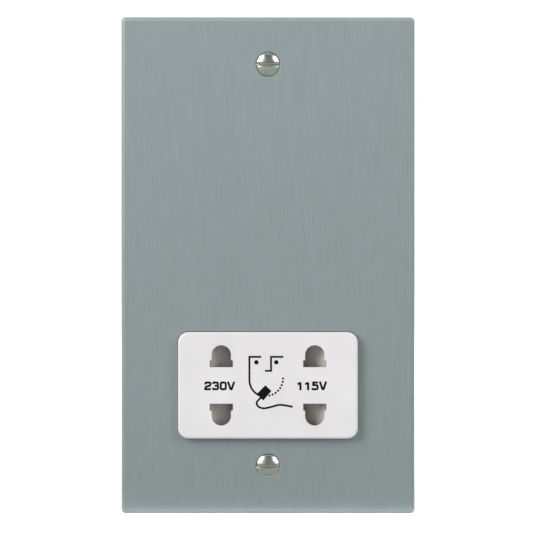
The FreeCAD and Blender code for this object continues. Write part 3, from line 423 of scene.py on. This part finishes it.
def set_of(name, node, slot, meshes, spots, axis, turn=0.0):
    """One piece of several copies of the same meshes, standing for a node of the CAD."""
    work = bmesh.new()
    aim = Vector(axis).to_track_quat("Z", "Y").to_matrix().to_4x4() @ Matrix.Rotation(turn, 4, "Z")
    for spot in spots:
        for mesh in meshes:
            copy = mesh.copy()
            copy.transform(Matrix.Translation(spot) @ aim)
            work.from_mesh(copy)
            bpy.data.meshes.remove(copy)
    mesh = bpy.data.meshes.new(name)
    work.to_mesh(mesh)
    work.free()
    mesh.shade_smooth()
    mesh.set_sharp_from_angle(angle=EDGE_ANGLE)
    stand_in(name, mesh, slot, node)


def dome_profile(radius, rise, steps=10):
    """Points from a dome's crown at zero out to its rim."""
    ball = (rise * rise + radius * radius) / (2 * rise)
    reach = math.asin(radius / ball)
    angles = (reach * n / steps for n in range(steps + 1))
    return [(ball * math.sin(a), ball * (1 - math.cos(a))) for a in angles]


def pan_head(radius, height, core, slot):
    """A low round head with a slot, its top at zero and its seat at height."""
    crown = 0.86 * radius
    rise = 0.35 * height
    side = 0.62 * height
    neck = 1.1 * height
    slot_depth = 0.55 * height
    profile = dome_profile(crown, rise, steps=6)
    profile += [(radius, side), (radius, height), (core, height), (core, neck), (0.0, neck)]
    return slotted(profile, slot, slot_depth, radius)


def fixing_screws():
    head = 3.65 * MM
    wall = 0.2 * MM
    neck = 1.55 * MM
    overlap = 0.3 * MM
    core = 1.4 * MM
    crest = 1.75 * MM
    pitch = 0.6 * MM
    slot_width = 1.2 * MM
    slot_depth = 1.1 * MM
    low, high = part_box("fixing_screws")
    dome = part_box("front_plate")[0].y - low.y
    rim = head - wall
    thread_start = -low.y
    profile = dome_profile(rim, dome)
    profile += [(rim, dome + wall), (neck, dome + head - neck)]
    profile += [(neck, thread_start + overlap), (0.0, thread_start + overlap)]
    top = slotted(profile, slot_width, slot_depth, head)
    rod = threaded_rod(core, crest, pitch, thread_start, high.y - low.y)
    spots = [Vector((0, low.y, side * (high.z - head))) for side in (1, -1)]
    set_of("slotted_fixing_screws", "fixing_screws", "screw_nickel", [top, rod], spots, (0, 1, 0))


def small_screws():
    head = 2.6 * MM
    height = 1.8 * MM
    core = 1.1 * MM
    crest = 1.45 * MM
    pitch = 0.8 * MM
    top = pan_head(head, height, core, slot=0.8 * MM)

    low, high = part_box("strap_screws")
    rod = threaded_rod(core, crest, pitch, height, high.y - low.y)
    level = middle_of("strap_screws").z
    spots = [Vector((side * (high.x - head), low.y, level)) for side in (1, -1)]
    set_of("slotted_strap_screws", "strap_screws", "zinc_steel", [top, rod], spots, (0, 1, 0), turn=0.5)

    low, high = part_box("block_screw")
    rod = threaded_rod(core, crest, pitch, height, high.y - low.y)
    middle = middle_of("block_screw")
    spots = [Vector((middle.x, high.y, middle.z))]
    set_of("slotted_block_screw", "block_screw", "zinc_steel", [top, rod], spots, (0, -1, 0), turn=0.35)


def earth_screw():
    head = 3.0 * MM
    height = 2.0 * MM
    core = 1.4 * MM
    crest = 1.75 * MM
    pitch = 0.6 * MM
    low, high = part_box("earth_screw")
    middle = middle_of("earth_screw")
    top = pan_head(head, height, core, slot=1.0 * MM)
    rod = threaded_rod(core, crest, pitch, height, high.x - low.x)
    spots = [Vector((high.x, middle.y, middle.z))]
    set_of("slotted_earth_screw", "earth_screw", "brass", [top, rod], spots, (-1, 0, 0), turn=0.6)


def grub_screws():
    bevel = 0.25 * MM
    plain = 0.7 * MM
    slot_width = 0.7 * MM
    slot_depth = 0.6 * MM
    thread_start = 0.6 * MM
    low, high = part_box("terminal_screws")
    radius = (high.z - low.z) / 2
    end = 0.85 * radius
    profile = [(0.0, 0.0), (end, 0.0), (radius, bevel), (radius, plain), (0.0, plain)]
    top = slotted(profile, slot_width, slot_depth, radius)
    rod = threaded_rod(CORE_SHARE * radius, radius, FINE_PITCH, thread_start, high.y - low.y)
    spots = [Vector((side * (high.x - radius), high.y, (low.z + high.z) / 2)) for side in (1, -1)]
    set_of("slotted_grub_screws", "terminal_screws", "zinc_steel", [top, rod], spots, (0, -1, 0), turn=0.2)


def threaded_studs():
    radius = 1.5 * MM
    plain = 4.0 * MM
    low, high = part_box("plate_studs")
    shank = turned_mesh([(0, 0), (radius, 0), (radius, plain), (0, plain)], "shank")
    rod = threaded_rod(CORE_SHARE * radius, radius, FINE_PITCH, plain, high.y - low.y)
    spots = [Vector((side * (high.x - radius), low.y, side * (high.z - radius))) for side in (1, -1)]
    set_of("threaded_studs", "plate_studs", "zinc_steel", [shank, rod], spots, (0, 1, 0))


def coil_spring():
    wire = 0.225 * MM
    turns = 8
    wire_sides = 10
    turn_steps = 28
    low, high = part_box("centring_spring")
    middle = middle_of("centring_spring")
    coil = (high.z - low.z) / 2 - wire
    length = high.x - low.x - 2 * wire
    rings = []
    for n in range(turns * turn_steps + 1):
        angle = 2 * math.pi * n / turn_steps
        along = low.x + wire + length * n / (turns * turn_steps)
        outward = Vector((0, math.cos(angle), math.sin(angle)))
        centre = Vector((along, middle.y, middle.z)) + outward * coil
        leans = [2 * math.pi * side / wire_sides for side in range(wire_sides)]
        rings.append([
            centre + outward * wire * math.cos(a) + Vector((wire * math.sin(a), 0, 0)) for a in leans
        ])
    mesh = mesh_of(lambda work: skin(work, rings), "coil_spring")
    mesh.shade_smooth()
    made = stand_in("coil_spring", mesh, "spring_steel", "centring_spring")
    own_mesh(made)


def bending_leaf():
    """The switch's leaf, copied from its CAD node in contact bronze; in the socket, the slider lifts it out
    of its notch on the way to either end.
    """
    mesh = nodes["switch_leaf"].data.copy()
    made = stand_in("bending_leaf", mesh, "contact_bronze", "switch_leaf")
    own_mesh(made)


# print on the white face, across and up in millimetres: a letter from its own lower left corner, and the sign
# from the middle between the outlets
GLYPHS = {
    "2": [[(0, 1.4), (0.05, 2.0), (1.5, 2.0), (1.5, 1.1), (0, 0.7), (0, -0.3)], [(0, 0), (1.65, 0)]],
    "3": [[(0, 1.55), (0.05, 2.0), (1.45, 2.0), (1.45, 1.05), (0.5, 1.05)],
          [(0.5, 1.05), (1.5, 1.05), (1.5, 0), (0, 0), (0, 0.45)]],
    "0": [[(0, 1.0), (0, 2.0), (1.5, 2.0), (1.5, 0), (0, 0), (0, 1.0)]],
    "1": [[(0.1, 1.4), (0.95, 2.05), (0.95, -0.3)]],
    "5": [[(1.55, 2.0), (-0.1, 2.0)], [(0.2, 2.0), (0.15, 1.0)],
          [(0, 1.22), (1.5, 1.22), (1.5, 0), (0, 0), (0, 0.4)]],
    "V": [[(-0.15, 2.3), (0.65, 0), (0.95, 0), (1.75, 2.3)]],
}
GLYPH_BEND = 0.5
BEND_SHARE = 0.48
JAW_CENTRE, JAW_RADIUS = (-0.5, 1.64), 5.07
JAW_TURN = (180, 243)
BEARD_CENTRE, BEARD_RADIUS = (-0.72, 2.07), 5.2
BEARD_TURN = (-77.5, 0)
BEARD_DOTS, BEARD_DOT = 8, 0.33
EYES, EYE = ((-3.49, 6.94), (2.47, 6.94)), 0.66
BROW = 8.56
NOSE = [(4.57, BROW), (0.9, BROW), (0.9, 4.38), (-0.93, 4.38)]
TEMPLE = [(-2.05, BROW), (-5.57, BROW)]
SHAVER = [(-0.8, 0.05), (1.0, -1.65), (-1.42, -4.5), (-3.45, -2.6)]
FLEX = [(-2.2, -3.7), (-3.29, -4.88), (-3.29, -5.82), (-2.47, -6.57), (-1.05, -6.83), (0.83, -6.45),
        (3.07, -5.85), (4.94, -5.93), (7.37, -6.38)]


def arc(centre, radius, turn, steps):
    """Points along an arc, the turn in degrees."""
    angles = (math.radians(turn[0] + (turn[1] - turn[0]) * n / steps) for n in range(steps + 1))
    return [(centre[0] + radius * math.cos(a), centre[1] + radius * math.sin(a)) for a in angles]


def eased(points, bend, steps=5):
    """A line with each corner rounded by a quadratic bend, which takes less than half of either side."""
    spots = [Vector((across, up, 0)) for across, up in points]
    line = [spots[0]]
    for before, corner, after in zip(spots, spots[1:], spots[2:]):
        reach = min(bend, (corner - before).length * BEND_SHARE, (after - corner).length * BEND_SHARE)
        first = corner + (before - corner).normalized() * reach
        last = corner + (after - corner).normalized() * reach
        for n in range(steps + 1):
            share = n / steps
            line.append(first.lerp(corner, share).lerp(corner.lerp(last, share), share))
    line.append(spots[-1])
    return [(spot.x, spot.y) for spot in line]


def smooth_line(points, steps=8):
    """A smooth line through points, a cubic curve between each two."""
    spots = [Vector((across, up, 0)) for across, up in points]
    spots = [spots[0] * 2 - spots[1], *spots, spots[-1] * 2 - spots[-2]]
    line = []
    for a, b, c, d in zip(spots, spots[1:], spots[2:], spots[3:]):
        for n in range(steps):
            t = n / steps
            line.append(0.5 * (2 * b + (c - a) * t + (2 * a - 5 * b + 4 * c - d) * t ** 2
                               + (3 * b - a - 3 * c + d) * t ** 3))
    line.append(spots[-2])
    return [(spot.x, spot.y) for spot in line]


def placed(points, middle):
    """Places on the face in metres, from points in millimetres about a middle."""
    return [Vector((across * MM, up * MM)) + middle for across, up in points]


def ink_prism(work, sides):
    """A thin prism of ink on the face, from its outline in metres."""
    face_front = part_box("socket_face")[0].y
    levels = (face_front + INK / 2, face_front - INK)
    skin(work, [[(across, level, up) for across, up in sides] for level in levels])


def stroke(work, points, width, middle):
    """An even stroke of ink along a line."""
    line = placed(points, middle)
    line = [spot for n, spot in enumerate(line) if n == 0 or (spot - line[n - 1]).length > WELD]
    left, right = [], []
    for n, spot in enumerate(line):
        into = (spot - line[n - 1]).normalized() if n else (line[1] - spot).normalized()
        away = (line[n + 1] - spot).normalized() if n + 1 < len(line) else into
        along = (into + away).normalized()
        across = Vector((-along.y, along.x)) * (width / 2 / max(MITRE_LEAST, along.dot(into)))
        left.append(spot + across)
        right.append(spot - across)
    for n in range(len(line) - 1):
        ink_prism(work, [left[n], left[n + 1], right[n + 1], right[n]])


def disc(work, centre, radius, middle, steps):
    """A round spot of ink."""
    ink_prism(work, placed(arc(centre, radius, (0, 360), steps)[:-1], middle))


def face_print():
    level = middle_of("shutter_slider").z
    middle = Vector((0, level))

    def sign(work):
        stroke(work, TEMPLE + arc(JAW_CENTRE, JAW_RADIUS, JAW_TURN, JAW_STEPS), SIGN_STROKE, middle)
        stroke(work, NOSE, SIGN_STROKE, middle)
        stroke(work, smooth_line(FLEX), SIGN_STROKE, middle)
        ink_prism(work, placed(SHAVER, middle))
        for eye in EYES:
            disc(work, eye, EYE, middle, DISC_STEPS)
        for dot in arc(BEARD_CENTRE, BEARD_RADIUS, BEARD_TURN, BEARD_DOTS - 1):
            disc(work, dot, BEARD_DOT, middle, DOT_STEPS)

    def words(work):
        for text, start in TEXT_STARTS.items():
            for place, letter in enumerate(text):
                corner = Vector((start + place * TEXT_PITCH, level + TEXT_LEVEL))
                for points in GLYPHS[letter]:
                    stroke(work, eased(points, GLYPH_BEND), TEXT_STROKE, corner)

    ink = printed("face_ink", (0.004, 0.004, 0.005))
    for name, build in (("shaver_sign", sign), ("voltage_marks", words)):
        made = new_object(name, mesh_of(build, name))
        made.data.materials.append(ink)


# soft boxes left, right and behind: name, place, size and power
LAMPS = (
    ("key", (-1.8, -1.55, 1.35), (1.3, 1.9), 65.0),
    ("fill", (1.8, -1.6, 1.25), (1.2, 1.9), 27.5),
    ("back", (0.5, 1.3, 1.4), (0.9, 0.9), 12.0),
)
SKY_FILL = 0.1

# the pale floor, with its own light as pairs of a distance from the origin and a strength
FLOOR_SIZE = (12, 12)
FLOOR_PALE = 0.8
FLOOR_NEAR = (0.3, 0.6)
FLOOR_FAR = (1.5, 1.0)

# grey cards that only reflections see: name, size, place, facing and grey
# the low one lies just over the floor and ends just before the object
CARD_FRONT = -2.0
LOW_CARD_GAP = 0.5 * MM
LOW_CARD_LIFT = 1.0 * MM
LOW_CARD_END = cad_box[0].y - LOW_CARD_GAP
LOW_CARD_PLACE = (0, (CARD_FRONT + LOW_CARD_END) / 2, cad_box[0].z + LOW_CARD_LIFT)
CARDS = (
    ("front_card", (5.0, 3.0), (0, CARD_FRONT, 1.42), (0, 1, 0), 0.25),
    ("left_card", (2.4, 3.0), (-2.5, -0.8, 1.42), (1, 0, 0), 0.05),
    ("right_card", (2.4, 3.0), (2.5, -0.8, 1.42), (-1, 0, 0), 0.4),
    ("top_card", (5.0, 2.4), (0, -0.8, 2.92), (0, 0, -1), 0.75),
    ("low_card", (5.0, LOW_CARD_END - CARD_FRONT), LOW_CARD_PLACE, (0, 0, 1), 0.45),
)


def background_rays(tree):
    """One for the rays that see the background itself: camera, glossy and transmission rays."""
    rays = tree.nodes.new("ShaderNodeLightPath").outputs
    seen = rays["Is Camera Ray"]
    for ray in ("Is Glossy Ray", "Is Transmission Ray"):
        seen = combined(tree, "MAXIMUM", seen, rays[ray])
    return seen


def pale_floor(material):
    """A pale diffuse floor that the background's rays see lighter, up to white far from the object."""
    tree = material.node_tree
    tree.nodes.clear()
    diffuse = tree.nodes.new("ShaderNodeBsdfDiffuse")
    diffuse.inputs["Color"].default_value = (FLOOR_PALE, FLOOR_PALE, FLOOR_PALE, 1)
    away = tree.nodes.new("ShaderNodeVectorMath")
    away.operation = "LENGTH"
    tree.links.new(tree.nodes.new("ShaderNodeNewGeometry").outputs["Position"], away.inputs[0])
    distances, strengths = zip(FLOOR_NEAR, FLOOR_FAR)
    level = map_range(tree, away.outputs["Value"], distances, strengths)
    glow = tree.nodes.new("ShaderNodeEmission")
    glow.inputs["Color"].default_value = (1, 1, 1, 1)
    tree.links.new(combined(tree, "MULTIPLY", background_rays(tree), level), glow.inputs["Strength"])
    both = tree.nodes.new("ShaderNodeAddShader")
    tree.links.new(diffuse.outputs[0], both.inputs[0])
    tree.links.new(glow.outputs[0], both.inputs[1])
    out = tree.nodes.new("ShaderNodeOutputMaterial")
    tree.links.new(both.outputs[0], out.inputs["Surface"])


def put(made, place, aim):
    """Adds a stage surface or a lamp at its place, turned by a quaternion."""
    made.location = place
    made.rotation_mode = "QUATERNION"
    made.rotation_quaternion = aim
    bpy.context.scene.collection.objects.link(made)


def stage_plane(name, size, place, facing):
    """A flat stage surface with a material of its own."""
    mesh = mesh_of(lambda work: bmesh.ops.create_grid(work, x_segments=1, y_segments=1, size=0.5), name)
    made = bpy.data.objects.new(name, mesh)
    made.scale = (*size, 1)
    put(made, place, Vector(facing).to_track_quat("Z", "Y"))
    material = bpy.data.materials.new(name)
    material.use_nodes = True
    mesh.materials.append(material)
    return made, material


def floor_and_cards():
    pale_floor(stage_plane("floor", FLOOR_SIZE, (0, 0, cad_box[0].z), (0, 0, 1))[1])
    for name, size, place, facing, grey in CARDS:
        card, material = stage_plane(name, size, place, facing)
        shade = material.node_tree.nodes["Principled BSDF"]
        shade.inputs["Base Color"].default_value = (grey, grey, grey, 1)
        shade.inputs["Roughness"].default_value = 1.0
        card.visible_camera = False
        card.visible_diffuse = False
        card.visible_shadow = False


def sky():
    """A white background that lights the object only faintly."""
    world = bpy.data.worlds.new("studio")
    bpy.context.scene.world = world
    world.use_nodes = True
    tree = world.node_tree
    light = tree.nodes["Background"]
    light.inputs["Color"].default_value = (1, 1, 1, 1)
    level = map_range(tree, background_rays(tree), (0.0, 1.0), (SKY_FILL, 1.0))
    tree.links.new(level, light.inputs["Strength"])


def soft_boxes():
    for name, place, size, power in LAMPS:
        lamp = bpy.data.lights.new(name, "AREA")
        lamp.shape = "RECTANGLE"
        lamp.size, lamp.size_y = size
        lamp.energy = power
        put(bpy.data.objects.new(name, lamp), place, (-Vector(place)).to_track_quat("-Z", "Y"))


def camera():
    lens = bpy.data.cameras.new("camera")
    lens.lens = LENS
    lens.sensor_width = SENSOR
    lens.clip_start = CLIP_START
    made = bpy.data.objects.new("camera", lens)
    away = FRAME_WIDTH * LENS / SENSOR
    made.location = (FRAME_SHIFT[0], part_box("front_plate")[0].y - away, FRAME_SHIFT[1])
    made.rotation_euler = (math.radians(90), 0, 0)
    bpy.context.scene.collection.objects.link(made)
    bpy.context.scene.camera = made
    bpy.context.scene.view_settings.view_transform = "Standard"


dress_cad_nodes()
fixing_screws()
small_screws()
earth_screw()
grub_screws()
threaded_studs()
coil_spring()
bending_leaf()
face_print()
floor_and_cards()
sky()
soft_boxes()
camera()
